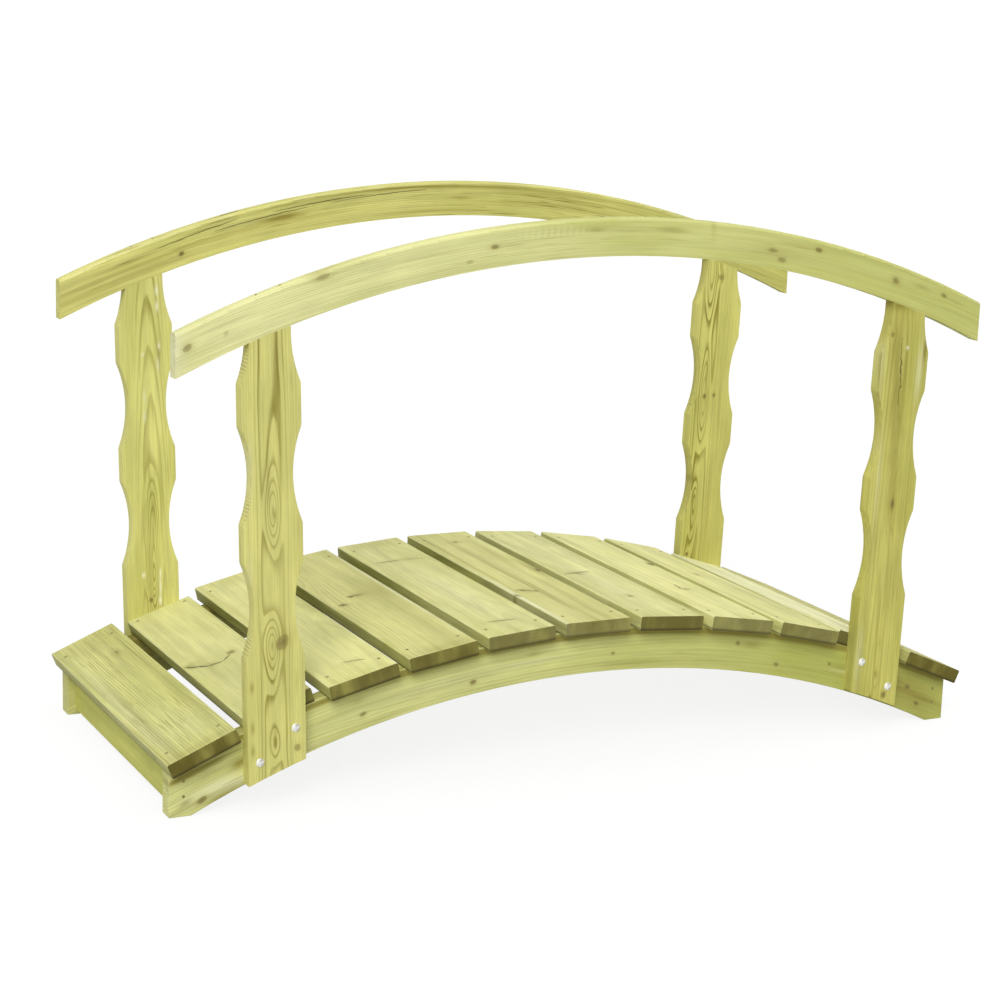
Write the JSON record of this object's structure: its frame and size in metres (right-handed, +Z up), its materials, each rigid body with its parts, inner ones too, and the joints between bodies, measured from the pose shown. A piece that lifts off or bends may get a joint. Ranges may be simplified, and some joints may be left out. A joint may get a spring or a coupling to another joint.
{
  "type": "garden bridge",
  "caption": "Arched timber footbridge: curved side beams, deck boards across them, shaped posts bolted to the sides and curved handrails on top.",
  "frame": {"origin": "on the ground under the middle of the bridge", "axes": "+X along the walk towards the right end, +Y across towards the far handrail, +Z up"},
  "size_m": [1.6998, 0.74, 1.055],
  "materials": {
    "arch_beam_wood": "sawn, pressure treated, unpainted",
    "riser_wood": "sawn, pressure treated, unpainted",
    "deck_wood": "sawn, pressure treated, unpainted",
    "post_wood": "sawn, pressure treated, unpainted",
    "handrail_wood": "sawn, pressure treated, unpainted",
    "fixing_steel": "bright zinc plated"
  },
  "bodies": {
    "root": {"stringer_near": "arch_beam_wood", "stringer_far": "arch_beam_wood", "riser_left": "riser_wood", "riser_right": "riser_wood", "deck_board_01": "deck_wood", "deck_board_02": "deck_wood", "deck_board_03": "deck_wood", "deck_board_04": "deck_wood", "deck_board_05": "deck_wood", "deck_board_06": "deck_wood", "deck_board_07": "deck_wood", "deck_board_08": "deck_wood", "deck_board_09": "deck_wood", "deck_board_10": "deck_wood", "deck_board_11": "deck_wood", "post_near_left": "post_wood", "post_near_right": "post_wood", "post_far_left": "post_wood", "post_far_right": "post_wood", "handrail_near": "handrail_wood", "handrail_far": "handrail_wood"}
  },
  "joints": []
}
